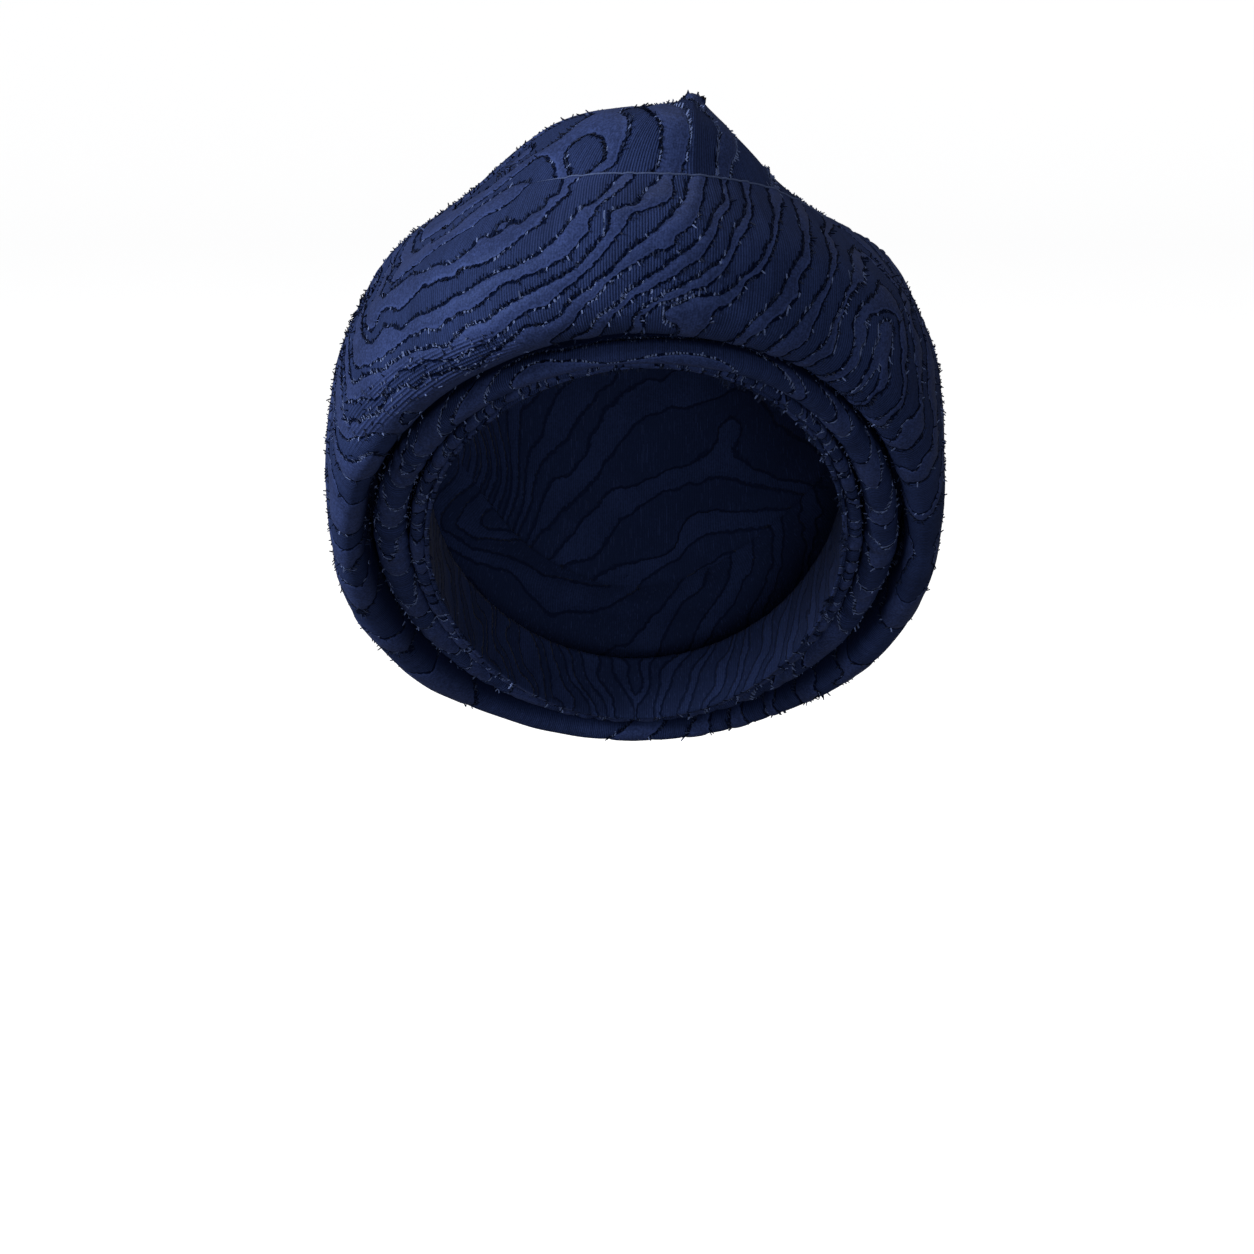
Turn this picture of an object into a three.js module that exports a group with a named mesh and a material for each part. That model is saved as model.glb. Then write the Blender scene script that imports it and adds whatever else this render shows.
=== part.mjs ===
// A full head wrap of clipped jacquard cloth: a closed crown, a big outer wrap whose lower
// edge is turned under, and three folds of the same cloth nested inside it round the face.
// Millimetres, +Z up, +X to the wearer's left, the face towards -Y. The origin is the middle
// of the head opening, where the wrap grips the head.
import * as THREE from "three";
import { LoftGeometry } from "three/addons/geometries/LoftGeometry.js";

// The head opening, an oval that leans back from the brow down to the nape.
const OPENING_HALF_WIDTH = 76;
const OPENING_HALF_DEPTH = 83.5;
const OPENING_CENTRE_Y = -0.5;
const OPENING_CENTRE_Z = -4;
const OPENING_RISE = 81; // the brow stands this far above the centre, the nape as far below
const EAR_LIFT = 3;
const BROW_TILT = 4; // the edge stands higher by this over the +X temple, lower over the other
const TILT_FADES_BY = 40; // the tilt is gone this far up the bands
const BAND_LEAN = 21; // degrees that each band leans back as it runs up over the head
const OUTWARD_DEPTH = 100; // half depth of the oval that sets which way is outwards

// Thickness of the cloth walls, and the gap between neighbouring layers.
const EDGE_WALL = 1.6;
const INNER_WALL = 1.2;
const MIDDLE_WALL = 1.6;
const WRAP_WALL = 2;
const CROWN_WALL = 2;
const LAYER_GAP = 0.4;

// How far each band runs up over the head from its front edge.
const EDGE_STRIP_WIDTH = 24;
const INNER_FOLD_WIDTH = 20;
const MIDDLE_FOLD_WIDTH = 24;
const FOLD_NOSE = 1; // the noses of both folds hang this far above the opening's edge
const HEM_TURN_UP = 17;
const CROWN_TUCK = 12; // the crown's hidden rim lies this far below the crease
const CROWN_SEAT = 2.7; // the crown's cloth runs this far inside the crease
const HEAD_HUG = 0.007; // the inner bands curve in over the brow by this times their width squared

// The peak of the crown.
const PEAK = new THREE.Vector3(20, -56, 168);

// Pleats run lengthwise round the back and deepen towards the nape. Puckers crimp the nose of
// the inner fold.
const PLEAT_COUNT = 3;
const PLEAT_DEPTH = 2.2;
const PLEAT_REACH = 75; // degrees to each side of the nape
const PUCKER_COUNT = 15;
const PUCKER_DEPTH = 0.5;

// Colours of the cloth, lighter on the outer layers, which catch the light.
const EDGE_NAVY = 0x1b2546;
const FOLD_NAVY = 0x1f2a52;
const WRAP_NAVY = 0x27335c;
const CROWN_NAVY = 0x2a3763;
const CLOTH_ROUGHNESS = 0.85;

const STATIONS_ROUND = 60;
const WRAP_STEPS = 15;
const WRAP_FACE_FROM = 7; // the step where the outer face starts above the hem
const CROWN_STEPS = 10;
const DEGREES = Math.PI / 180;

// Whole thickness of the two inner folds at stations round the head, in degrees from the brow
// towards +X. gap is the shadow gap between the middle fold and the outer wrap.
const FOLDS = [
  { at: 0, inner: 3.2, middle: 8, gap: 2 },
  { at: 45, inner: 4.6, middle: 11, gap: 2 },
  { at: 90, inner: 6, middle: 13, gap: 1.6 },
  { at: 135, inner: 5, middle: 11, gap: 1 },
  { at: 180, inner: 3, middle: 5, gap: 0.6 },
  { at: 225, inner: 5, middle: 11, gap: 1 },
  { at: 270, inner: 6, middle: 13, gap: 1.6 },
  { at: 315, inner: 4.6, middle: 11, gap: 2 },
];

// Section of the outer wrap at the same stations. low is where its round hem hangs. Each
// pair is a point of the section: out from the head and up along the band.
const WRAP = [
  { at: 0, low: 8, belly: [41, 21], upper: [43, 37], shoulder: [38.5, 50], crease: [31, 61] },
  { at: 45, low: 4, belly: [40, 22], upper: [38, 42], shoulder: [24.5, 60], crease: [14, 72] },
  { at: 90, low: -2, belly: [36, 24], upper: [34.5, 54], shoulder: [29, 75], crease: [20, 92] },
  { at: 135, low: -3, belly: [38, 22], upper: [35, 42], shoulder: [25, 60], crease: [10, 76] },
  { at: 180, low: -5, belly: [20, 12], upper: [16, 30], shoulder: [10, 48], crease: [4, 62] },
  { at: 225, low: -3, belly: [40, 22], upper: [35, 42], shoulder: [25, 60], crease: [10, 76] },
  { at: 270, low: -2, belly: [36.5, 24], upper: [34, 54], shoulder: [28, 75], crease: [19, 92] },
  { at: 315, low: 4, belly: [39, 22], upper: [35.5, 42], shoulder: [22, 61], crease: [13, 72] },
];

// Section of the round hem, from its turned-up edge out to the belly: share of the way out
// to the belly, and height above the hem's lowest point.
const HEM = [
  { outward: 0, rise: HEM_TURN_UP },
  { outward: 0, rise: HEM_TURN_UP / 2 },
  { outward: 0.2, rise: 1.5 },
  { outward: 0.52, rise: 0 },
  { outward: 0.85, rise: 4.5 },
];

// Section of the crown from the crease to the peak. Each pair is the share of the way in to
// the peak and the share of the way up to it.
const CROWN = [
  { at: 0, near: [0.15, 0.45], mid: [0.4, 0.78], far: [0.7, 0.88], tip: [0.94, 0.95] },
  { at: 45, near: [0.2, 0.19], mid: [0.43, 0.4], far: [0.77, 0.73], tip: [0.94, 0.92] },
  { at: 90, near: [0.2, 0.23], mid: [0.45, 0.41], far: [0.75, 0.68], tip: [0.94, 0.91] },
  { at: 135, near: [0.03, 0.36], mid: [0.2, 0.64], far: [0.55, 0.84], tip: [0.93, 0.94] },
  { at: 180, near: [-0.035, 0.3], mid: [0.07, 0.6], far: [0.4, 0.83], tip: [0.93, 0.95] },
  { at: 225, near: [0.03, 0.36], mid: [0.2, 0.66], far: [0.55, 0.865], tip: [0.93, 0.94] },
  { at: 270, near: [0.18, 0.3], mid: [0.43, 0.62], far: [0.7, 0.84], tip: [0.94, 0.93] },
  { at: 315, near: [0.22, 0.4], mid: [0.43, 0.75], far: [0.68, 0.88], tip: [0.94, 0.92] },
];

const bandAxis = new THREE.Vector3(0, Math.sin(BAND_LEAN * DEGREES), Math.cos(BAND_LEAN * DEGREES));
const forward = new THREE.Vector3(0, -bandAxis.z, bandAxis.y);

// One number of a station table at any angle, smooth all the way round.
function between(table, at, pick) {
  const place = (THREE.MathUtils.euclideanModulo(at, 360) * table.length) / 360;
  const first = Math.floor(place);
  const t = place - first;
  const value = (offset) => pick(table[(first + offset + table.length) % table.length]);
  const [a, b, c, d] = [value(-1), value(0), value(1), value(2)];
  const slopeIn = (c - a) / 2;
  const slopeOut = (d - b) / 2;
  const bend = 2 * b - 2 * c + slopeIn + slopeOut;
  return b + t * (slopeIn + t * (3 * (c - b) - 2 * slopeIn - slopeOut + t * bend));
}

// The same for a pair of numbers, found by its column's name.
function pairBetween(table, at, name) {
  return [0, 1].map((index) => between(table, at, (row) => row[name][index]));
}

// A point out from the head and up along the band, measured from the opening's edge.
function bandPoint(at, out, up) {
  const side = Math.sin(at * DEGREES);
  const front = Math.cos(at * DEGREES);
  const tilt = BROW_TILT * side * Math.max(0, front) * Math.max(0, 1 - up / TILT_FADES_BY);
  const edge = new THREE.Vector3(
    OPENING_HALF_WIDTH * side,
    OPENING_CENTRE_Y - OPENING_HALF_DEPTH * front,
    OPENING_CENTRE_Z + OPENING_RISE * front + EAR_LIFT * side * side + tilt,
  );
  const outward = new THREE.Vector3(side / OPENING_HALF_WIDTH, 0, 0);
  outward.addScaledVector(forward, front / OUTWARD_DEPTH).normalize();
  return edge.addScaledVector(outward, out).addScaledVector(bandAxis, up);
}

// The same, for the inner bands, which follow the head in over the brow.
function innerBandPoint(at, out, up) {
  const hug = HEAD_HUG * up * up * Math.max(0, Math.cos(at * DEGREES));
  return bandPoint(at, out - hug, up);
}

// The middle line of a fold seen in section: down one leg, round the nose and up the other.
function foldLine(inside, outside, nose, width) {
  const radius = (outside - inside) / 2;
  const line = [[inside, nose + width], [inside, nose + width / 2]];
  for (let turn = 180; turn <= 360; turn += 45) {
    line.push([
      inside + radius + radius * Math.cos(turn * DEGREES),
      nose + radius + radius * Math.sin(turn * DEGREES),
    ]);
  }
  line.push([outside, nose + width / 2], [outside, nose + width]);
  return line;
}

const innerFoldStart = EDGE_WALL + LAYER_GAP;
const middleFoldStart = (at) => innerFoldStart + between(FOLDS, at, (row) => row.inner) + LAYER_GAP;
const wrapStart = (at) => middleFoldStart(at) + between(FOLDS, at, (row) => row.middle + row.gap);

function edgeStripLine(at) {
  const shares = [0, 0.5, 1];
  return shares.map((share) => innerBandPoint(at, EDGE_WALL / 2, share * EDGE_STRIP_WIDTH));
}

function innerFoldLine(at) {
  const pucker = PUCKER_DEPTH * Math.cos(PUCKER_COUNT * at * DEGREES);
  const inside = innerFoldStart + INNER_WALL / 2;
  const outside = innerFoldStart + between(FOLDS, at, (row) => row.inner) - INNER_WALL / 2;
  const line = foldLine(inside, outside, FOLD_NOSE + pucker, INNER_FOLD_WIDTH);
  return line.map(([out, up]) => innerBandPoint(at, out, up));
}

function middleFoldLine(at) {
  const inside = middleFoldStart(at) + MIDDLE_WALL / 2;
  const outside = middleFoldStart(at) + between(FOLDS, at, (row) => row.middle) - MIDDLE_WALL / 2;
  const line = foldLine(inside, outside, FOLD_NOSE, MIDDLE_FOLD_WIDTH);
  return line.map(([out, up]) => innerBandPoint(at, out, up));
}

function pleat(at, share) {
  const fromNape = Math.abs(at - 180);
  const strength = THREE.MathUtils.smoothstep(PLEAT_REACH - fromNape, 0, PLEAT_REACH);
  return PLEAT_DEPTH * strength * Math.sin(share * PLEAT_COUNT * 2 * Math.PI);
}

function wrapLine(at) {
  const inside = wrapStart(at) + WRAP_WALL / 2;
  const low = between(WRAP, at, (row) => row.low);
  const belly = pairBetween(WRAP, at, "belly");
  const bulge = belly[0] - inside;
  const points = [
    ...HEM.map(({ outward, rise }) => [inside + outward * bulge, low + rise]),
    belly,
    ...["upper", "shoulder", "crease"].map((name) => pairBetween(WRAP, at, name)),
  ];
  const section = new THREE.SplineCurve(points.map(([out, up]) => new THREE.Vector2(out, up)));
  return section.getPoints(WRAP_STEPS).map((point, step) => {
    const share = Math.max(0, (step - WRAP_FACE_FROM) / (WRAP_STEPS - WRAP_FACE_FROM));
    return bandPoint(at, point.x + pleat(at, share), point.y);
  });
}

function crownLine(at) {
  const [out, up] = pairBetween(WRAP, at, "crease");
  const rim = bandPoint(at, out - CROWN_SEAT, up - CROWN_TUCK);
  const seat = bandPoint(at, out - CROWN_SEAT, up);
  const rise = ["near", "mid", "far", "tip"].map((name) => {
    const [shareIn, shareUp] = pairBetween(CROWN, at, name);
    const point = seat.clone().lerp(PEAK, shareIn);
    point.z = THREE.MathUtils.lerp(seat.z, PEAK.z, shareUp);
    return point;
  });
  return new THREE.CatmullRomCurve3([rim, seat, ...rise, PEAK]).getPoints(CROWN_STEPS);
}

// A closed cloth wall of even thickness on the lines that lineAt gives round the head. With
// meeting set, all the lines end in one point.
function clothWall(name, lineAt, thickness, color, meeting = false) {
  const lines = [];
  for (let station = 0; station < STATIONS_ROUND; station += 1) {
    lines.push(lineAt((station * 360) / STATIONS_ROUND));
  }
  const last = lines[0].length - 1;
  const sections = lines.map((line, station) => {
    const before = lines[(station + STATIONS_ROUND - 1) % STATIONS_ROUND];
    const after = lines[(station + 1) % STATIONS_ROUND];
    const outer = [];
    const inner = [];
    line.forEach((point, step) => {
      const outward = new THREE.Vector3().subVectors(after[step], before[step]);
      outward.cross(line[Math.min(step + 1, last)].clone().sub(line[Math.max(step - 1, 0)]));
      if (meeting && step === last) outward.set(0, 0, 1);
      outward.setLength(thickness / 2);
      inner.push(point.clone().sub(outward));
      outer.unshift(point.clone().add(outward));
    });
    return [...inner, ...outer];
  });
  const geometry = new LoftGeometry([...sections, sections[0]]);
  const material = new THREE.MeshStandardMaterial({ color, roughness: CLOTH_ROUGHNESS, metalness: 0 });
  const mesh = new THREE.Mesh(geometry, material);
  mesh.name = name;
  return mesh;
}

const headwrap = new THREE.Group();
headwrap.add(
  clothWall("edge_strip", edgeStripLine, EDGE_WALL, EDGE_NAVY),
  clothWall("inner_fold", innerFoldLine, INNER_WALL, FOLD_NAVY),
  clothWall("middle_fold", middleFoldLine, MIDDLE_WALL, FOLD_NAVY),
  clothWall("outer_wrap", wrapLine, WRAP_WALL, WRAP_NAVY),
  clothWall("crown", crownLine, CROWN_WALL, CROWN_NAVY, true),
);

export default headwrap;
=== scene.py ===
"""Dresses the head wrap: its clipped jacquard cloth, the clipped threads, and the stage."""

import math
import random
from collections import namedtuple

import bmesh
import bpy
from bpy.props import FloatProperty, FloatVectorProperty, IntProperty, PointerProperty
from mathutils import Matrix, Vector, noise


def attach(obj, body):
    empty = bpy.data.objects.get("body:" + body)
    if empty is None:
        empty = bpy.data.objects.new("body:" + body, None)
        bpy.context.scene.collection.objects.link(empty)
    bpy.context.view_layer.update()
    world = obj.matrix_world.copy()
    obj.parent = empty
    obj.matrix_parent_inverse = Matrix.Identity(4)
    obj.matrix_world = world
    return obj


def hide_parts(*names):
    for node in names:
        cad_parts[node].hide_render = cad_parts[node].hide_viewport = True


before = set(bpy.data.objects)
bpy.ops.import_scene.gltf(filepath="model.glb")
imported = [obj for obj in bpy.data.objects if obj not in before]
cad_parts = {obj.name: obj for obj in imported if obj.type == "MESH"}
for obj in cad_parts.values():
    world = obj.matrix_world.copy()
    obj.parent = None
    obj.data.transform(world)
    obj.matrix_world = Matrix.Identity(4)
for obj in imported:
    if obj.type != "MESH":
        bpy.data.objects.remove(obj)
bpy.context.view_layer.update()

bl_info = {
    "name": "Head Wrap",
    "version": (1, 0, 0),
    "blender": (4, 5, 0),
    "location": "3D View > Sidebar > Head Wrap",
    "description": "Builds a full head wrap of clipped jacquard cloth",
    "category": "Object",
}

MM = 0.001

# ---------------------------------------------------------------- the form, in millimetres

# `at` is an angle round the head, in degrees from the brow towards +X, and `up` is a height
# along the band's own axis. Left and right are as they look from the front, so right is +X.
NAPE = 180

# The head opening, an oval that leans back from the brow down to the nape.
OPENING_HALF_WIDTH = 76
OPENING_HALF_DEPTH = 83.5
OPENING_CENTRE_Y = -0.5
OPENING_CENTRE_Z = -4
OPENING_RISE = 81
EAR_LIFT = 3
BROW_TILT = 4
TILT_FADES_BY = 40
BAND_LEAN = math.radians(21)
OUTWARD_DEPTH = 100  # half depth of the oval that sets which way is outward

EDGE_WALL = 1.6
INNER_WALL = 1.2
MIDDLE_WALL = 1.6
WRAP_WALL = 2
LAYER_GAP = 0.4

EDGE_STRIP_WIDTH = 24
INNER_FOLD_WIDTH = 20
MIDDLE_FOLD_WIDTH = 24
FOLD_NOSE = 1  # height of the folds' lowest line
HEM_TURN_UP = 17
CROWN_SEAT = 2.7
HEAD_HUG = 0.007
PEAK = Vector((20, -56, 168))

PLEAT_COUNT = 3
PLEAT_DEPTH = 2.2
PLEAT_REACH = 75

# Thickness of the inner and the middle fold, and the shadow gap outside the middle one.
FOLDS = (
    {"at": 0, "inner": 3.2, "middle": 8, "gap": 2},
    {"at": 45, "inner": 4.6, "middle": 11, "gap": 2},
    {"at": 90, "inner": 6, "middle": 13, "gap": 1.6},
    {"at": 135, "inner": 5, "middle": 11, "gap": 1},
    {"at": 180, "inner": 3, "middle": 5, "gap": 0.6},
    {"at": 225, "inner": 5, "middle": 11, "gap": 1},
    {"at": 270, "inner": 6, "middle": 13, "gap": 1.6},
    {"at": 315, "inner": 4.6, "middle": 11, "gap": 2},
)

# Section of the outer wrap: out from the head and up along the band.
WRAP = (
    {"at": 0, "low": 8, "belly": (41, 21), "upper": (43, 37), "shoulder": (38.5, 50),
     "crease": (31, 61)},
    {"at": 45, "low": 4, "belly": (40, 22), "upper": (38, 42), "shoulder": (24.5, 60),
     "crease": (14, 72)},
    {"at": 90, "low": -2, "belly": (36, 24), "upper": (34.5, 54), "shoulder": (29, 75),
     "crease": (20, 92)},
    {"at": 135, "low": -3, "belly": (38, 22), "upper": (35, 42), "shoulder": (25, 60),
     "crease": (10, 76)},
    {"at": 180, "low": -5, "belly": (20, 12), "upper": (16, 30), "shoulder": (10, 48),
     "crease": (4, 62)},
    {"at": 225, "low": -3, "belly": (40, 22), "upper": (35, 42), "shoulder": (25, 60),
     "crease": (10, 76)},
    {"at": 270, "low": -2, "belly": (36.5, 24), "upper": (34, 54), "shoulder": (28, 75),
     "crease": (19, 92)},
    {"at": 315, "low": 4, "belly": (39, 22), "upper": (35.5, 42), "shoulder": (22, 61),
     "crease": (13, 72)},
)

# The hem's round under side: share of the way out to the belly, and height above its lowest line.
HEM_ROUND = ({"out": 0.2, "up": 1.5}, {"out": 0.52, "up": 0}, {"out": 0.85, "up": 4.5})

# Section of the crown: share of the way in to the peak and share of the way up to it.
CROWN = (
    {"at": 0, "near": (0.15, 0.45), "mid": (0.4, 0.78), "far": (0.7, 0.88), "tip": (0.94, 0.95)},
    {"at": 45, "near": (0.2, 0.19), "mid": (0.43, 0.4), "far": (0.77, 0.73), "tip": (0.94, 0.92)},
    {"at": 90, "near": (0.2, 0.23), "mid": (0.45, 0.41), "far": (0.75, 0.68), "tip": (0.94, 0.91)},
    {"at": 135, "near": (0.03, 0.36), "mid": (0.2, 0.64), "far": (0.55, 0.84),
     "tip": (0.93, 0.94)},
    {"at": 180, "near": (-0.035, 0.3), "mid": (0.07, 0.6), "far": (0.4, 0.83),
     "tip": (0.93, 0.95)},
    {"at": 225, "near": (0.03, 0.36), "mid": (0.2, 0.66), "far": (0.55, 0.865),
     "tip": (0.93, 0.94)},
    {"at": 270, "near": (0.18, 0.3), "mid": (0.43, 0.62), "far": (0.7, 0.84), "tip": (0.94, 0.93)},
    {"at": 315, "near": (0.22, 0.4), "mid": (0.43, 0.75), "far": (0.68, 0.88),
     "tip": (0.94, 0.92)},
)

BAND_AXIS = Vector((0, math.sin(BAND_LEAN), math.cos(BAND_LEAN)))
FORWARD = Vector((0, -BAND_AXIS.z, BAND_AXIS.y))


def smoothstep(value, low, high):
    share = min(1, max(0, (value - low) / (high - low)))
    return share * share * (3 - 2 * share)


def from_brow(at):
    """Degrees round from the brow, negative on the left."""
    return (at + 180) % 360 - 180


def between(table, at, pick):
    """One number of a station table at any angle, smooth all the way round."""
    place = (at % 360) * len(table) / 360
    first = int(place)
    t = place - first
    a, b, c, d = (pick(table[(first + offset) % len(table)]) for offset in (-1, 0, 1, 2))
    slope_in, slope_out = (c - a) / 2, (d - b) / 2
    bend = 2 * b - 2 * c + slope_in + slope_out
    return b + t * (slope_in + t * (3 * (c - b) - 2 * slope_in - slope_out + t * bend))


def pair_between(table, at, column):
    return [between(table, at, lambda row: row[column][index]) for index in (0, 1)]


def band_point(at, out, up):
    """A point out from the head and up along the band, from the opening's edge."""
    side, front = math.sin(math.radians(at)), math.cos(math.radians(at))
    tilt = BROW_TILT * side * max(0, front) * max(0, 1 - up / TILT_FADES_BY)
    edge = Vector((
        OPENING_HALF_WIDTH * side,
        OPENING_CENTRE_Y - OPENING_HALF_DEPTH * front,
        OPENING_CENTRE_Z + OPENING_RISE * front + EAR_LIFT * side * side + tilt,
    ))
    outward = Vector((side / OPENING_HALF_WIDTH, 0, 0)) + FORWARD * (front / OUTWARD_DEPTH)
    return edge + outward.normalized() * out + BAND_AXIS * up


def inner_band_point(at, out, up):
    """The same, for the inner bands, which follow the head in over the brow."""
    hug = HEAD_HUG * up * up * max(0, math.cos(math.radians(at)))
    return band_point(at, out - hug, up)


def height_in_band(at, place):
    return (place - band_point(at, 0, 0)).dot(BAND_AXIS)


def smooth_line(points, steps):
    """A centripetal curve through the points, with so many steps in each span."""
    ends = [points[0] * 2 - points[1], *points, points[-1] * 2 - points[-2]]
    line = []
    for before, start, end, after in zip(ends, ends[1:], ends[2:], ends[3:]):
        first = math.sqrt((start - before).length)
        span = math.sqrt((end - start).length)
        last = math.sqrt((after - end).length)
        leave = (start - before) / first - (end - before) / (first + span) + (end - start) / span
        reach = (end - start) / span - (after - start) / (span + last) + (after - end) / last
        leave, reach = leave * span, reach * span
        for step in range(steps):
            t = step / steps
            cubic = 2 * start - 2 * end + leave + reach
            square = 3 * (end - start) - 2 * leave - reach
            line.append(start + t * (leave + t * (square + t * cubic)))
    return [*line, points[-1].copy()]


def even_line(line, count):
    """The same line with count + 1 points, evenly spaced along it."""
    reached = [0.0]
    for before, after in zip(line, line[1:]):
        reached.append(reached[-1] + (after - before).length)
    even, span = [], 0
    for step in range(count + 1):
        goal = reached[-1] * step / count
        while span < len(line) - 2 and reached[span + 1] < goal:
            span += 1
        length = max(1e-9, reached[span + 1] - reached[span])
        even.append(line[span].lerp(line[span + 1], min(1, (goal - reached[span]) / length)))
    return even


INNER_START = EDGE_WALL + LAYER_GAP


def middle_start(at):
    return INNER_START + between(FOLDS, at, lambda row: row["inner"]) + LAYER_GAP


def wrap_start(at):
    return middle_start(at) + between(FOLDS, at, lambda row: row["middle"] + row["gap"])


def pleat(at, share):
    strength = smoothstep(PLEAT_REACH - abs(at % 360 - NAPE), 0, PLEAT_REACH)
    return PLEAT_DEPTH * strength * math.sin(share * PLEAT_COUNT * 2 * math.pi)


SPAN_STEPS = 8
WRAP_SPANS = 8  # spans of the big cloth's section from the turned-up hem to the crease
FACE_FROM = 0.467  # share of the wrap's section where its outer face starts above the hem


def cloth_line(at):
    """The big cloth's whole section, from the turned-up hem over the crease to the peak."""
    inside = wrap_start(at) + WRAP_WALL / 2
    low = between(WRAP, at, lambda row: row["low"])
    face = [pair_between(WRAP, at, name) for name in ("belly", "upper", "shoulder", "crease")]
    bulge = face[0][0] - inside
    hem = [(inside, low + HEM_TURN_UP), (inside, low + HEM_TURN_UP / 2)]
    hem += [(inside + row["out"] * bulge, low + row["up"]) for row in HEM_ROUND]
    points = [band_point(at, *pair) for pair in (*hem, *face)]
    crease_out, crease_up = face[-1]
    seat = band_point(at, crease_out - CROWN_SEAT, crease_up)
    for name in ("near", "mid", "far", "tip"):
        share_in, share_up = pair_between(CROWN, at, name)
        point = seat.lerp(PEAK, share_in)
        point.z = seat.z + (PEAK.z - seat.z) * share_up
        points.append(point)
    return smooth_line([*points, PEAK], SPAN_STEPS)


def wrap_line(at, rows):
    line = cloth_line(at)[: WRAP_SPANS * SPAN_STEPS + 1]
    out = band_point(at, 1, 0) - band_point(at, 0, 0)
    for step, point in enumerate(line):
        share = max(0, (step / (len(line) - 1) - FACE_FROM) / (1 - FACE_FROM))
        point += out * pleat(at, share)
    return even_line(line, rows)


CREASE_FROM, CREASE_FULL = -26, -10  # degrees past the brow where the crease starts
CREASE_ENDS, CREASE_GONE = 205, 235
CREASE_DEPTH = 2.2
CREASE_FADE = 13
TUCK = 9  # length of crown cloth that goes on down behind the crease
TUCK_ROWS = 4


def crease_strength(at):
    turned = (at + 90) % 360 - 90
    rise = smoothstep(turned, CREASE_FROM, CREASE_FULL)
    return rise * (1 - smoothstep(turned, CREASE_ENDS, CREASE_GONE))


def crown_line(at, rows):
    line = even_line(cloth_line(at)[WRAP_SPANS * SPAN_STEPS:], rows - TUCK_ROWS)
    down = (line[0] - line[1]).normalized() * crease_strength(at) * TUCK / TUCK_ROWS
    return [line[0] + down * step for step in range(TUCK_ROWS, 0, -1)] + line


ROLL_RISE = 2.4  # how high a roll's outer end goes, as a share of its radius
ROLL_SHADOW = 1.2  # gap outside each roll
ROLL_TURNS = range(180, 435, 15)  # degrees down a roll's inner side, under it, and up outside


def roll_line(at, rows, start, name, wall, width):
    """The section of a fold: a roll, a little taller than it is thick, with its outer end tucked
    up behind the next one."""
    inside = start + wall / 2
    outside = start + between(FOLDS, at, lambda row: row[name]) - wall / 2
    radius = (outside - ROLL_SHADOW - inside) / 2
    middle_out, middle_up = inside + radius, FOLD_NOSE + radius
    pairs = [(inside, FOLD_NOSE + width), (inside, FOLD_NOSE + width / 2)]
    for turn in ROLL_TURNS:
        angle = math.radians(turn)
        rise = radius * (ROLL_RISE if turn > 360 else 1)
        pairs.append((middle_out + radius * math.cos(angle), middle_up + rise * math.sin(angle)))
    pairs.append((pairs[-1][0], FOLD_NOSE + width))
    return even_line([inner_band_point(at, *pair) for pair in pairs], rows)


def inner_fold_line(at, rows):
    return roll_line(at, rows, INNER_START, "inner", INNER_WALL, INNER_FOLD_WIDTH)


def middle_fold_line(at, rows):
    return roll_line(at, rows, middle_start(at), "middle", MIDDLE_WALL, MIDDLE_FOLD_WIDTH)


def edge_strip_line(at, rows):
    return [
        inner_band_point(at, EDGE_WALL / 2, EDGE_STRIP_WIDTH * row / rows)
        for row in range(rows + 1)
    ]


# ---------------------------------------------------------------- the woven pattern

# The pattern is a height field over the cloth, and each whole number of it starts a raised
# satin stripe. On the front the stripes are arcs round a point beyond the crown, and on each
# side they bend down into nested arches. Distance round the cloth comes before height.
HALF_GIRTH = 117 * math.pi
ARC_CENTRE = (-145, 270)
RIGHT_ARCH = {"top": (90, 88), "level": 304, "spread_over": 110, "from": 15, "full": 85}
LEFT_ARCH = {"top": (-152, 75), "level": 225, "spread_over": 80, "from": -85, "full": -158}
BACK_FROM = 250  # distance from the brow where the two sides' arches start to blend behind

# Millimetres of cloth that one repeat takes, by its distance from the centre of the arcs.
REPEATS = (
    {"distance": 0, "repeat": 15},
    {"distance": 138, "repeat": 15},
    {"distance": 170, "repeat": 12.5},
    {"distance": 198, "repeat": 9.5},
    {"distance": 219, "repeat": 10},
    {"distance": 249, "repeat": 15.5},
    {"distance": 272, "repeat": 10.5},
    {"distance": 400, "repeat": 12},
)

# The crown's stripes run round the end of this line, which lies along its left side. Past
# CROWN_TURN they count down again, so that they meet the panel's on the far side.
CROWN_AXIS_END = Vector((-24, -72, 149))
CROWN_AXIS = Vector((-0.93, 0.28, -0.22)).normalized()
CROWN_LEVEL = 137
CROWN_STRETCH = 0.78
CROWN_TURN, CROWN_TURN_WIDTH = 60, 10
CROWN_BLEND = (4, 46)  # heights above the crease between which the panel's pattern fades

# Knots in the grain: where, how far they reach along each axis, and how many stripes they add.
PANEL_KNOTS = (
    {"at": (16, -118, 101), "reach": (13, 40, 5), "stripes": 0.85},
    {"at": (-14, -112, 132), "reach": (14, 40, 4), "stripes": 0.5},
    {"at": (-30, -96, 145), "reach": (7, 30, 3), "stripes": 0.55},
    {"at": (-68, -75, 140), "reach": (16, 40, 4), "stripes": -0.6},
    {"at": (100, 20, 20), "reach": (30, 34, 26), "stripes": -1.4},
    {"at": (-95, 60, 60), "reach": (40, 30, 22), "stripes": 2.0},
    {"at": (30, 100, 30), "reach": (26, 40, 22), "stripes": 2.2},
    {"at": (-60, 90, -10), "reach": (26, 40, 16), "stripes": -1.6},
)
CROWN_KNOTS = (
    {"at": (-30, 60, 110), "reach": (22, 30, 30), "stripes": 2.0},
    {"at": (50, 20, 120), "reach": (20, 28, 26), "stripes": -1.8},
)

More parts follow.
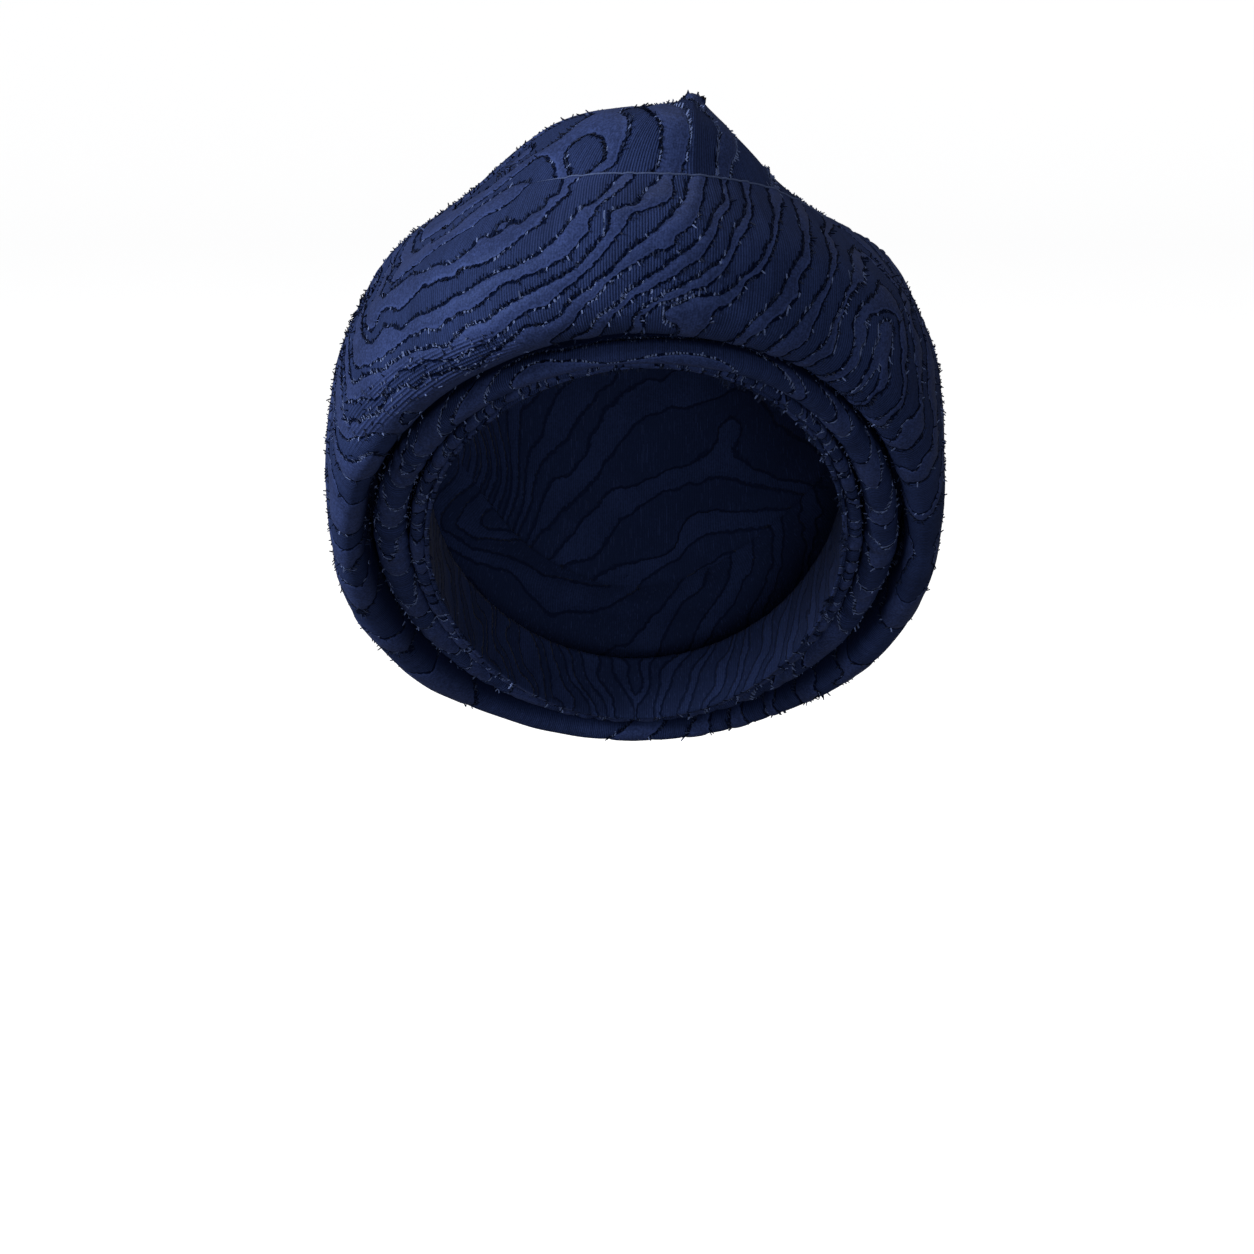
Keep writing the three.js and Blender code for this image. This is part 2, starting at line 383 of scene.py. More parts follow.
# How the lines wander: the waves' size, how far they shift the pattern, and how much more they
# do at the sides, which begin and are reached in full at these distances from the middle.
WANDER = (
    {"size": 45, "shift": 5, "more": 0},
    {"size": 16, "shift": 2.2, "more": 2.6},
    {"size": 6, "shift": 1.2, "more": 0.7},
)
SIDES = (55, 88)
DRIFT_STARTS = (Vector((2, 37, 18)), Vector((24, 3, 9)), Vector((29, 13, 16)))

# The folds' stripes: the pattern's height at the band's edge, the millimetres up the band and
# the degrees round it that one repeat takes, the angle past which they cross the fold, and how
# far waves of a size sway them.
FOLD_STRIPES = {
    "middle_fold": {"first": 0.55, "up": 15, "across": 14, "past": 30, "sway": 0.5, "size": 24},
    "inner_fold": {"first": 0, "up": 60, "across": 6.4, "past": 0, "sway": 0.5, "size": 9},
    "edge_strip": {"first": 0, "up": 22, "across": 7.5, "past": 0, "sway": 0.6, "size": 12},
}

STRIPE_SHARE, STRIPE_VARIES, STRIPE_MORE_LEFT = 0.4, 0.36, 0.12
LEAST_STRIPE, MOST_STRIPE = 0.2, 0.75


def repeat_at(distance):
    for low, high in zip(REPEATS, REPEATS[1:]):
        if distance < high["distance"]:
            share = (distance - low["distance"]) / (high["distance"] - low["distance"])
            return low["repeat"] + share * (high["repeat"] - low["repeat"])
    return REPEATS[-1]["repeat"]


def counted_stripes():
    """Stripes counted outwards, a number for each millimetre of distance."""
    counts = [0.0]
    for distance in range(REPEATS[-1]["distance"]):
        counts.append(counts[-1] + 1 / repeat_at(distance + 0.5))
    return counts


STRIPE_COUNTS = counted_stripes()


def stripes(distance):
    """How many stripes lie within a distance from the centre of the arcs."""
    distance = min(len(STRIPE_COUNTS) - 2, max(0, distance))
    first = int(distance)
    low, high = STRIPE_COUNTS[first:first + 2]
    return low + (distance - first) * (high - low)


def knotted(place, knots):
    """How many stripes the knots add at a place."""
    total = 0
    for knot in knots:
        spread = sum(
            ((here - there) / reach) ** 2
            for here, there, reach in zip(place, knot["at"], knot["reach"])
        )
        total += knot["stripes"] * math.exp(-spread)
    return total


def drift(place):
    """A smooth shift along each axis, the same one every time at a place."""
    return Vector([noise.noise(place + start) for start in DRIFT_STARTS])


def wander(place):
    """How far the pattern is shifted at a place, so that its lines wander as drawn ones do."""
    sides = smoothstep(abs(place.x), *SIDES)
    waves = (
        drift(place / wave["size"]) * (wave["shift"] + wave["more"] * sides) for wave in WANDER
    )
    return sum(waves, Vector((0, 0, 0)))


def arch_level(arch, around, height):
    """A field of nested arches, whose legs spread apart below the arches' top."""
    top_around, top_height = arch["top"]
    sideways = abs(around - top_around)
    sideways = min(sideways, 2 * HALF_GIRTH - sideways)
    spread = 1 + max(0, top_height - height) / arch["spread_over"]
    return arch["level"] - math.hypot(sideways / spread, max(0, height - top_height))


def panel_distance(at, place, shift):
    """The field of the outer wrap: arcs in front, arches on each side, and their blend behind."""
    around = HALF_GIRTH * from_brow(at) / 180 + shift.x
    height = place.z + shift.z
    centre_around, centre_height = ARC_CENTRE
    front = math.hypot(around - centre_around, height - centre_height)
    right = arch_level(RIGHT_ARCH, around, height)
    left = arch_level(LEFT_ARCH, around, height)
    past_right = around % (2 * HALF_GIRTH)
    if BACK_FROM < past_right < 2 * HALF_GIRTH - BACK_FROM:
        back = smoothstep(past_right, BACK_FROM, 2 * HALF_GIRTH - BACK_FROM)
        return right + (left - right) * back
    if around > 0:
        return front + (right - front) * smoothstep(around, RIGHT_ARCH["from"], RIGHT_ARCH["full"])
    return front + (left - front) * smoothstep(-around, -LEFT_ARCH["from"], -LEFT_ARCH["full"])


def panel_grain(at, place):
    shift = wander(place)
    return stripes(panel_distance(at, place, shift)) + knotted(place + shift, PANEL_KNOTS)


def crown_distance(place):
    """Distance from the crown's axis line, shorter to the right of the line's end."""
    offset = place - CROWN_AXIS_END
    along = max(0, offset.dot(CROWN_AXIS))
    apart = offset - CROWN_AXIS * along
    if apart.x > 0:
        apart.x *= CROWN_STRETCH
    turned_back = math.hypot(apart.length - CROWN_TURN, CROWN_TURN_WIDTH)
    return CROWN_LEVEL + CROWN_TURN - turned_back


def crown_grain(at, place):
    """The panel's pattern beside the wrap, where the cloth runs on, and the crown's own above."""
    shift = wander(place)
    crown = crown_distance(place + shift)
    above = place.z - band_point(at, *pair_between(WRAP, at, "crease")).z
    beside = (1 - crease_strength(at)) * (1 - smoothstep(above, *CROWN_BLEND))
    distance = crown + (panel_distance(at, place, shift) - crown) * beside
    knots = knotted(place + shift, PANEL_KNOTS) * beside + knotted(place + shift, CROWN_KNOTS)
    return stripes(distance) + knots


def fold_grain(fold, at, place):
    """Stripes along a fold, which turn across it past an angle."""
    up = height_in_band(at, place) / fold["up"]
    across = max(0, abs(from_brow(at)) - fold["past"]) / fold["across"]
    return fold["first"] + up + across + fold["sway"] * noise.noise(place / fold["size"])


def raised_share(place):
    """How much of each repeat is the raised stripe."""
    leaning = STRIPE_MORE_LEFT * smoothstep(-place.x, -70, 60)
    varied = STRIPE_SHARE + leaning + STRIPE_VARIES * noise.noise(place / 26 + Vector((9, 0, 0)))
    return min(MOST_STRIPE, max(LEAST_STRIPE, varied))


# ---------------------------------------------------------------- cloth as a grid of points

# What a cloth holds at each of its points: the pattern's height and the raised share of each
# repeat, how many threads catch the light as painted glints, how tightly it is gathered, and how
# much painted shade it takes where it lies in the shadow between two layers.
FIELDS = ("grain", "share", "lit", "gathered", "tucked")
WIDEST_REPEAT = 40
SOFT_EDGE = 1.2  # distance over which a raised stripe starts to puff out from its edge
GROUND_PUFF = 0.5  # how far the ground puffs out, as a share of what a raised stripe does
SEAM = 0.02 * MM  # points that lie nearer than this are joined


class Cloth:
    """A grid of points round the head, open at its lower and upper edges."""

    def __init__(self, line, columns, rows):
        self.columns, self.rows = columns, rows
        self.angles = [NAPE + 360 * column / columns for column in range(columns)]
        self.points = [line(at, rows) for at in self.angles]
        self.lit = self.gathered = self.tucked = self.marked(lambda at, share, place: 0.0)

    def marked(self, amount):
        """An amount at every point, by amount(at, row share, place)."""
        return [
            [amount(at, row / self.rows, place) for row, place in enumerate(line)]
            for at, line in zip(self.angles, self.points)
        ]

    def weave(self, grain):
        """Sets the pattern by grain(at, place)."""
        self.grain = self.marked(lambda at, share, place: grain(at, place))
        self.share = self.marked(lambda at, share, place: raised_share(place))

    def along(self, field, column, row):
        return field[(column + 1) % self.columns][row], field[column - 1][row]

    def up(self, field, column, row):
        return field[column][min(row + 1, self.rows)], field[column][max(row - 1, 0)]

    def normal(self, column, row):
        after, before = self.along(self.points, column, row)
        above, below = self.up(self.points, column, row)
        return (after - before).cross(above - below).normalized()

    def normals(self):
        return [
            [self.normal(column, row) for row in range(self.rows + 1)]
            for column in range(self.columns)
        ]

    def push(self, distance):
        """Moves every point along its normal by distance(column, row, place)."""
        normals = self.normals()
        for column, line in enumerate(self.points):
            for row, place in enumerate(line):
                line[row] = place + normals[column][row] * distance(column, row, place)

    def slope(self, column, row):
        """The pattern's steepest way up on the cloth, as a vector in stripes a millimetre."""
        total = Vector((0, 0, 0))
        for near in (self.along, self.up):
            end, start = near(self.points, column, row)
            high, low = near(self.grain, column, row)
            step = end - start
            total += step * ((high - low) / max(1e-6, step.length_squared))
        return total

    def pace(self, column, row):
        """Millimetres of cloth in one repeat of the stripes."""
        return 1 / max(1 / WIDEST_REPEAT, self.slope(column, row).length)

    def relief(self, column, row, height):
        """How far the cloth puffs out between the lines, and the raised stripes a bit more."""
        part = self.grain[column][row] % 1
        share = self.share[column][row]
        nearest = min(part, 1 - part, abs(share - part)) * self.pace(column, row)
        puff = 0.6 * smoothstep(nearest, 0, SOFT_EDGE) + 0.4 * smoothstep(nearest, 0, 3 * SOFT_EDGE)
        return height * (puff if part < share else GROUND_PUFF * puff)


def new_piece(name, bm, *materials):
    """A finished bmesh as an object in the scene."""
    mesh = bpy.data.meshes.new(name)
    bm.to_mesh(mesh)
    bm.free()
    for material in materials:
        mesh.materials.append(material)
    piece = bpy.data.objects.new(name, mesh)
    bpy.context.scene.collection.objects.link(piece)
    return piece


def cloth_object(name, cloth, girth, wall, materials):
    """The mesh of a cloth grid: a plane, mapped to the grid and closed at its seam."""
    bm = bmesh.new()
    bmesh.ops.create_grid(bm, x_segments=cloth.columns, y_segments=cloth.rows, size=0.5)
    layers = {field: bm.verts.layers.float.new(field) for field in (*FIELDS, "pace")}
    weave = bm.loops.layers.uv.new("weave")
    for face in bm.faces:
        face.smooth = True
        for loop in face.loops:
            flat = loop.vert.co
            loop[weave].uv = ((flat.x + 0.5) * girth, (flat.y + 0.5) * cloth.rows)
    for vert in bm.verts:
        column = round((vert.co.x + 0.5) * cloth.columns) % cloth.columns
        row = round((vert.co.y + 0.5) * cloth.rows)
        vert.co = cloth.points[column][row] * MM
        for field in FIELDS:
            vert[layers[field]] = getattr(cloth, field)[column][row]
        vert[layers["pace"]] = cloth.pace(column, row)
    bmesh.ops.remove_doubles(bm, verts=bm.verts, dist=SEAM)
    piece = new_piece(name, bm, *materials)
    solid = piece.modifiers.new("wall", "SOLIDIFY")
    solid.thickness = wall * MM
    solid.offset = -1
    solid.material_offset = len(materials) - 1
    return piece


# ---------------------------------------------------------------- clipped threads

POLE_ROWS = 9  # a cloth's last rows, without threads: the crown's crowd together at its pole
LEAST_STEP, MOST_STEP = 1e-6, 0.9  # stripes between neighbouring points that can show an edge
THREAD_TIP = 0.34  # radius of a thread's tip, where its root has 0.5
FRAYED_TUFTS = 90
FRAYED_REACH = 125  # degrees round from the brow, to each side
TUFT_THREADS = (4, 8)
TUFT_SPREAD = 1.2  # degrees to each side
ROLL_SIDES = 6
ROLL_TAPER = 12  # steps over which each end of a roll tapers away

# A thread's root, the cloth's normal there, the way off the stripe and the way up the cloth,
# how readily it catches the light, and how large it is.
Spot = namedtuple("Spot", "root normal away rib lit size")


def edge_crossings(cloth, column, row):
    """Where stripes' edges cross the grid's lines to the next column and to the next row, and
    whether each is a stripe's upper edge."""
    here, share = cloth.grain[column][row], cloth.share[column][row]
    for next_column, next_row in (((column + 1) % cloth.columns, row), (column, row + 1)):
        there = cloth.grain[next_column][next_row]
        step = there - here
        if not LEAST_STEP <= abs(step) <= MOST_STEP:
            continue
        for upper, inset in ((False, 0), (True, share)):
            level = math.floor(max(here, there) - inset) + inset
            part = (level - here) / step
            if 0 <= part < 1:
                start, end = cloth.points[column][row], cloth.points[next_column][next_row]
                yield upper, start.lerp(end, part)


def thread_spots(cloth, keep, seed):
    """Where threads are clipped: some of the spots at stripes' lower and upper edges."""
    draw = random.Random(seed)
    normals = cloth.normals()
    spots = []
    for column in range(cloth.columns):
        for row in range(cloth.rows - POLE_ROWS):
            for upper, place in edge_crossings(cloth, column, row):
                if draw.random() > keep[upper]:
                    continue
                away = cloth.slope(column, row).normalized() * (1 if upper else -1)
                above, below = cloth.up(cloth.points, column, row)
                rib = (above - below).normalized()
                size = 1 + 0.8 * max(0, noise.noise(place / 6))
                lit = cloth.lit[column][row]
                spots.append(Spot(place, normals[column][row], away, rib, lit, size))
    return spots


def fray_spots(seed):
    """Tufts of loose threads along the edge strip's lower edge, round the face."""
    draw = random.Random(seed)
    spots = []
    for _ in range(FRAYED_TUFTS):
        at = draw.uniform(-FRAYED_REACH, FRAYED_REACH)
        inward = (band_point(at, -1, 0) - band_point(at, 0, 0)).normalized()
        rib = inward.cross(BAND_AXIS) * 0.4
        size = draw.uniform(0.6, 1.4) + 1.6 * draw.random() * smoothstep(at, -15, 40)
        for _ in range(draw.randint(*TUFT_THREADS)):
            spread = at + draw.uniform(-TUFT_SPREAD, TUFT_SPREAD)
            root = inner_band_point(spread, draw.uniform(0.2, 1.2), 0.4)
            spots.append(Spot(root, -BAND_AXIS, inward, rib, 0, size))
    return spots


def copy_shape(bm, copies):
    """Repeats the shape that a bmesh holds, one copy after another."""
    verts, edges, faces = len(bm.verts), len(bm.edges), len(bm.faces)
    made = 1
    while made < copies:
        take = min(made, copies - made)
        for sequence in (bm.verts, bm.edges, bm.faces):
            sequence.ensure_lookup_table()
        shape = [
            *bm.verts[: take * verts],
            *bm.edges[: take * edges],
            *bm.faces[: take * faces],
        ]
        bmesh.ops.duplicate(bm, geom=shape)
        made += take


def thread_object(name, spots, length, width, material, seed):
    """A tapered thread end at each spot."""
    draw = random.Random(seed)
    bm = bmesh.new()
    bmesh.ops.create_cone(
        bm, segments=3, radius1=0.5, radius2=THREAD_TIP, depth=1, cap_ends=False,
    )
    each = len(bm.verts)
    copy_shape(bm, len(spots))
    tone = bm.verts.layers.float.new("tone")
    bm.verts.ensure_lookup_table()
    for number, spot in enumerate(spots):
        side = 1 if spot.rib.dot(spot.away) > 0 else -1
        stray = Vector([draw.uniform(-0.35, 0.35) for _ in range(3)])
        way = (
            spot.rib * side * draw.uniform(0.2, 0.9)
            + spot.away * draw.uniform(0.1, 0.6)
            + spot.normal * draw.uniform(0.3, 1.0)
            + stray
        ).normalized()
        across = way.cross(spot.normal + stray).normalized()
        other = way.cross(across)
        long = length * draw.uniform(0.5, 1.25) * spot.size
        thick = width * math.sqrt(spot.size)
        base = spot.root - way * 0.2
        # Painted glints: some thread ends take the bright colour, more where the cloth is marked lit;
        # the rest keep the threads' own dark colour.
        bright = draw.random() > 0.95 - 0.5 * spot.lit
        shade = draw.uniform(0.6, 1.0) if bright else draw.uniform(0.0, 0.12)
        for vert in bm.verts[number * each:(number + 1) * each]:
            local = vert.co
            vert[tone] = shade
            vert.co = (
                base + across * local.x * thick + other * local.y * thick
                + way * (local.z + 0.5) * long
            ) * MM
    return new_piece(name, bm, material)


def roll_object(name, route, radius, material):
    """A thin roll of cloth along a route, tapered away at both ends."""
    bm = bmesh.new()
    last = len(route) - 1
    bmesh.ops.create_grid(bm, x_segments=last, y_segments=ROLL_SIDES, size=0.5)
    for face in bm.faces:
        face.smooth = True
    for vert in bm.verts:
        step = round((vert.co.x + 0.5) * last)
        turn = math.tau * (vert.co.y + 0.5)
        way = (route[min(step + 1, last)] - route[max(step - 1, 0)]).normalized()
        out = way.cross(BAND_AXIS).normalized()
        up = out.cross(way)
        thick = radius * min(1, (0.3 + min(step, last - step)) / ROLL_TAPER)
        vert.co = (route[step] + (out * math.cos(turn) + up * math.sin(turn)) * thick) * MM
    bmesh.ops.remove_doubles(bm, verts=bm.verts, dist=SEAM)
    bmesh.ops.recalc_face_normals(bm, faces=bm.faces)
    return new_piece(name, bm, material)


# ---------------------------------------------------------------- shaders

GLOSS_COLOUR = (0.2, 0.36, 1.0, 1.0)
WHITE = (1.0, 1.0, 1.0, 1.0)


class Shader:
    """A material's nodes. node() adds one, and the methods below it give values to work with."""

    def __init__(self, name):
        self.material = bpy.data.materials.new(name)
        self.material.use_nodes = True
        self.tree = self.material.node_tree
        self.tree.nodes.clear()

    def node(self, kind, settings=None, **inputs):
        made = self.tree.nodes.new(kind)
        for key, setting in (settings or {}).items():
            setattr(made, key, setting)
        for key, given in inputs.items():
            name = key.replace("_", " ")
            index = int(name[5:]) if name.startswith("input") else name
            self.feed(made.inputs[index], given)
        return made

    def feed(self, socket, given):
        if isinstance(given, Value):
            given = given.socket
        if isinstance(given, bpy.types.NodeSocket):
            self.tree.links.new(given, socket)
        else:
            socket.default_value = given

    def math(self, operation, *operands):
        inputs = {f"input{index}": operand for index, operand in enumerate(operands)}
        return Value(self, self.node("ShaderNodeMath", {"operation": operation}, **inputs).outputs[0])

    def place(self):
        return self.node("ShaderNodeTexCoord").outputs["Object"]

    def weave_place(self):
        """Where a spot lies in the cloth: round it in millimetres, and up it in rows."""
        weave = self.node("ShaderNodeUVMap", {"uv_map": "weave"}).outputs[0]
        split = self.node("ShaderNodeSeparateXYZ", Vector=weave)
        return Value(self, split.outputs[0]), Value(self, split.outputs[1])

    def attribute(self, name):
        return Value(self, self.node("ShaderNodeAttribute", {"attribute_name": name}).outputs["Fac"])

    def noise(self, vector, scale, detail=2.0):
        made = self.node("ShaderNodeTexNoise", Vector=vector, Scale=scale, Detail=detail)
        return Value(self, made.outputs["Fac"])

    def random(self, first, second):
        """A fixed random number for each whole first and second."""
        pair = self.node("ShaderNodeCombineXYZ", X=first, Y=second).outputs[0]
        made = self.node("ShaderNodeTexWhiteNoise", {"noise_dimensions": "2D"}, Vector=pair)
        return Value(self, made.outputs["Value"])

    def ramp(self, value, low, high):
        made = self.node(
            "ShaderNodeMapRange", {"interpolation_type": "SMOOTHSTEP", "clamp": True},
            input0=value, input1=low, input2=high, input3=0.0, input4=1.0,
        )
        return Value(self, made.outputs[0])

    def blend(self, factor, first, second):
        return self.node(
            "ShaderNodeMix", {"data_type": "RGBA", "clamp_factor": True},
            input0=factor, input6=first, input7=second,
        ).outputs[2]

    def surfaced(self, **inputs):
        """The material, with a surface of these inputs."""
        surface = self.node("ShaderNodeBsdfPrincipled", **inputs)
        self.node("ShaderNodeOutputMaterial", Surface=surface.outputs[0])
        return self.material

    def cloth(self, colour, roughness, height, depth, sheen=0.0):
        """The material, as cloth with a bump and the blue gloss of its yarn."""
        bump = self.node("ShaderNodeBump", Strength=1.0, Distance=depth, Height=height)
        return self.surfaced(
            Base_Color=colour, Roughness=roughness, Normal=bump.outputs[0],
            Sheen_Weight=sheen, Sheen_Roughness=0.4,
            Specular_IOR_Level=0.28, Specular_Tint=GLOSS_COLOUR,
        )


def math_node(operation, reflected=False):
    """An operator of Value that adds a Math node."""
    def operator(self, *others):
        return self.shader.math(operation, *((*others, self) if reflected else (self, *others)))
    return operator


class Value:
    """A number socket, with the arithmetic that shaders use."""

    def __init__(self, shader, socket):
        self.shader, self.socket = shader, socket

    __add__ = __radd__ = math_node("ADD")
    __sub__ = math_node("SUBTRACT")
    __rsub__ = math_node("SUBTRACT", reflected=True)
    __mul__ = __rmul__ = math_node("MULTIPLY")
    __truediv__ = math_node("DIVIDE")
    __mod__ = math_node("FLOORED_MODULO")
    __lt__ = math_node("LESS_THAN")
    __gt__ = math_node("GREATER_THAN")
    __or__ = math_node("MAXIMUM")
    __abs__ = math_node("ABSOLUTE")
    floor = math_node("FLOOR")
    sine = math_node("SINE")


def stripe_fields(shader, place):
    """The repeat that a spot lies in, whether its stripe is raised, and how far in it lies
    from the stripe's lower and upper edges, in millimetres."""
    pace = shader.attribute("pace")
    share = shader.attribute("share")
    jitter = (shader.noise(place, 620.0, 1.0) - 0.5) * 1.6
    grain = shader.attribute("grain") + jitter / pace
    part = grain % 1.0
    raised = part < share
    return grain, raised, (part + raised - 1.0) * pace, (share - part) * pace


def jacquard(shader, look):
    """Raised satin stripes on ribbed cloth, with a comb of clipped threads below each."""
    place = shader.place()
    around, up = shader.weave_place()
    gathered = shader.attribute("gathered")
    grain, raised, lower, upper = stripe_fields(shader, place)
    body = shader.ramp(lower, -0.15, 0.4) * shader.ramp(upper, -0.15, 0.4)

    # Thread ends hang from the lower edge of each stripe, one to a comb tooth.
    tooth = around / look["comb_pitch"]
    luck = shader.random(tooth.floor(), grain.floor())
    other_luck = shader.random(grain.floor(), tooth.floor() + 0.5)
    middle = abs(tooth % 1.0 - 0.5)
    reach = (luck * 1.5 + 0.4) * -1.0
    inside = (lower > reach) * (lower < 0.4)
    comb = inside * (1 - shader.ramp(middle, 0.12, 0.24))
    off_lower = shader.ramp(abs(lower + 0.15), 0.3, 0.75)
    off_upper = shader.ramp(abs(upper + 0.1), 0.25, 0.65)
    line = (1 - off_lower) | (1 - off_upper)
    # Painted glints: some thread ends and bits of line take the bright colour, more where the cloth
    # is marked lit.
    glint_luck = other_luck > 0.92 - shader.attribute("lit") * 0.5
    bright = (comb | line * (middle < 0.3)) * glint_luck
    # The comb and the lines along each stripe's edges are darkened: the thread ends' own dark colour,
    # and painted shadow in the grooves.
    dark = (comb | line) * (1 - bright)

    rib = around / look["rib_pitch"]
    ribs = (rib * math.tau).sine()
    rib_luck = shader.random(rib.floor(), 7.0) - 0.5
    mottle = shader.noise(place, 45.0, 3.0) - 0.5
    fine = (shader.noise(place, 1300.0, 1.0) - 0.5) * 3.0
    speckle = shader.noise(place, 520.0, 1.0) - 0.5
    # The gathered hem's pleats: a bump, and painted light and shade across them in the ground's and
    # the satin's tone.
    folds = ((up * 0.9 - around * 0.1) * math.tau / 1.25).sine() * gathered
    # Painted highlight along each raised stripe's upper edge, where it would catch the light.
    painted_rim_highlight = shader.ramp(upper, 0.2, 0.7) * (1 - shader.ramp(upper, 0.9, 1.5)) * raised
    ground_tone = ribs * 0.3 + rib_luck * 0.25 + fine * 0.3 + mottle * 0.8 + folds * 0.4 + 0.4
    satin_tone = (
        fine * 0.7 + speckle * 0.7 + ribs * 0.1 + mottle * 1.2 + painted_rim_highlight * 0.5 + folds * 0.4 + 0.38
    )
    ground = shader.blend(ground_tone, look["ground_low"], look["ground_high"])
    satin = shader.blend(satin_tone, look["satin_low"], look["satin_high"])
    colour = shader.blend(body, ground, satin)
    colour = shader.blend(dark * 0.97, colour, look["cut"])
    colour = shader.blend(bright * 0.85, colour, look["fleck"])
    # Painted shade where the cloth lies between two layers: it darkens towards the clipped threads'
    # colour.
    colour = shader.blend(shader.attribute("tucked") * 0.9, colour, look["cut"])
    height = (
        body * 0.3 + (1 - body) * ribs * 0.09 + comb * 0.25 + fine * 0.05 - line * 0.4
        + folds * 0.16
    )
    return shader.cloth(colour, 0.8 - body * 0.25 + dark * 0.2, height, 1.0 * MM)


def reverse_cloth(shader, look):
    """The back of the cloth, where the stripes show through as dull figures with sunk edges."""
    place = shader.place()
    around, up = shader.weave_place()
    _, _, lower, upper = stripe_fields(shader, place)
    body = shader.ramp(lower, -0.2, 0.5) * shader.ramp(upper, -0.2, 0.5)
    edge = (1 - shader.ramp(abs(lower), 0.2, 0.7)) | (1 - shader.ramp(abs(upper), 0.2, 0.7))
    strand = around / 0.62
    lines = (around * 6.0).sine() * 0.5 + 0.5
    float_luck = shader.random(strand.floor(), (up * 0.8).floor())
    floats = (float_luck > 0.9) * (abs(strand % 1.0 - 0.5) < 0.3) * (1 - body)
    mottle = shader.noise(place, 60.0, 3.0)
    fine = shader.noise(place, 1300.0, 1.0) - 0.5
    tone = (
        lines * 0.3 + mottle * 0.7 + fine * 0.9 + body * 0.3 + floats * 0.5 - edge * 0.55 - 0.55
    )
    colour = shader.blend(tone, look["ground_low"], look["ground_high"])
    colour = shader.blend(edge * 0.5, colour, look["cut"])
    height = lines * 0.2 + mottle * 0.5 + body * 0.6 + floats * 0.3 - edge * 0.5
    return shader.cloth(colour, 0.8, height, 0.5 * MM, sheen=0.05)


def thread_yarn(shader, look):
    """Loose yarn, from the clipped threads' dark colour to their bright one by its tone."""
    colour = shader.blend(shader.attribute("tone"), look["cut"], look["fleck"])
    return shader.cloth(colour, 0.7, shader.noise(shader.place(), 2500.0), 0.05 * MM, sheen=0.05)


def crease_highlight_cloth(shader, look):
    """Plain streaked cloth between the clipped threads' dark and bright colours, lighter than the
    wrap: a painted highlight along the crease's folded edge.
    """
    streaks = shader.noise(shader.place(), 900.0)
    colour = shader.blend(streaks * 0.4 + 0.3, look["cut"], look["fleck"])
    return shader.cloth(colour, 0.6, streaks, 0.1 * MM)


FINISHES = {
    "clipped_jacquard": jacquard,
    "jacquard_reverse": reverse_cloth,
    "clipped_thread": thread_yarn,
    "crease_roll": crease_highlight_cloth,
}


# ---------------------------------------------------------------- settings


def length_setting(name, description, default, low, high):
    return FloatProperty(
        name=name, description=f"{description}, in millimetres", default=default, min=low, max=high,
    )


def colour_setting(name, description, default):
    return FloatVectorProperty(
        name=name, description=description, subtype="COLOR", default=default, min=0, max=1,
    )


class WrapSizes(bpy.types.PropertyGroup):
    rib_pitch: length_setting("Rib pitch", "Distance between the ribs of the ground", 0.85, 0.4, 3)
    comb_pitch: length_setting("Thread pitch", "Distance between clipped threads", 1.25, 0.6, 5)
    stripe_lift: length_setting("Stripe lift", "How far the satin stripes stand proud", 0.7, 0, 2)
    thread_length: length_setting("Thread length", "Length of a clipped thread end", 1.6, 0.3, 5)
    thread_width: length_setting("Thread width", "Width of a thread end's root", 0.64, 0.1, 1)
    columns: IntProperty(
        name="Columns", description="Points round each piece of cloth", default=460, min=60, max=470,
    )


class WrapColours(bpy.types.PropertyGroup):
    satin: colour_setting("Satin", "Colour of the raised stripes", (0.034, 0.054, 0.163))
    ground: colour_setting("Ground", "Colour of the ribbed ground", (0.0255, 0.0425, 0.132))
    # The clipped threads' colour also serves as painted shade between layers and painted shadow in
    # the grooves.
    cut: colour_setting("Clipped threads", "Colour of the thread ends", (0.0008, 0.0030, 0.018))
    # The bright threads' colour serves for painted glints and for the painted highlight along the
    # crease.
    fleck: colour_setting("Bright threads", "Colour of ends that catch the light", (0.19, 0.26, 0.52))
    stage: colour_setting("Stage", "Colour of the floor and the backdrop", (0.90, 0.90, 0.90))


def tinted(colour, amount):
    return (*(part * amount for part in colour), 1.0)


def finish(context, name):
    """One of the wrap's finishes, made when it is first asked for."""
    made = bpy.data.materials.get(name)
    if made:
        return made
    sizes, colours = context.scene.wrap_sizes, context.scene.wrap_colours
    look = {
        "rib_pitch": sizes.rib_pitch,
        "comb_pitch": sizes.comb_pitch,
        "satin_low": tinted(colours.satin, 0.62),
        "satin_high": tinted(colours.satin, 1.4),
        "ground_low": tinted(colours.ground, 0.5),
        "ground_high": tinted(colours.ground, 1.4),
        "cut": tinted(colours.cut, 1),
        "fleck": tinted(colours.fleck, 1),
    }
    return FINISHES[name](Shader(name), look)


# ---------------------------------------------------------------- pieces

# The cloth of the wrap and of the folds: the record's slot, the share of threads kept at the
# stripes' lower and upper edges, and their length as a share of thread_length.
WRAP_CUT = {"slot": "wrap_cloth", "threads": (0.65, 0.4), "reach": 1.0}
FOLD_CUT = {"slot": "fold_cloth", "threads": (0.5, 0.3), "reach": 0.8}

# Each solid's cloth: rows of points, girth and wall, and the seed of its threads' random draws.
CLOTHS = {
    "outer_wrap": {**WRAP_CUT, "rows": 104, "girth": 705, "wall": 1.6, "seed": 11},
    "crown": {**WRAP_CUT, "rows": 104, "girth": 560, "wall": 1.6, "seed": 21},
    "middle_fold": {**FOLD_CUT, "rows": 52, "girth": 600, "wall": MIDDLE_WALL, "seed": 31},
    "inner_fold": {**FOLD_CUT, "rows": 44, "girth": 560, "wall": INNER_WALL, "seed": 41},
    "edge_strip": {**FOLD_CUT, "rows": 20, "girth": 540, "wall": EDGE_WALL, "seed": 51},
}

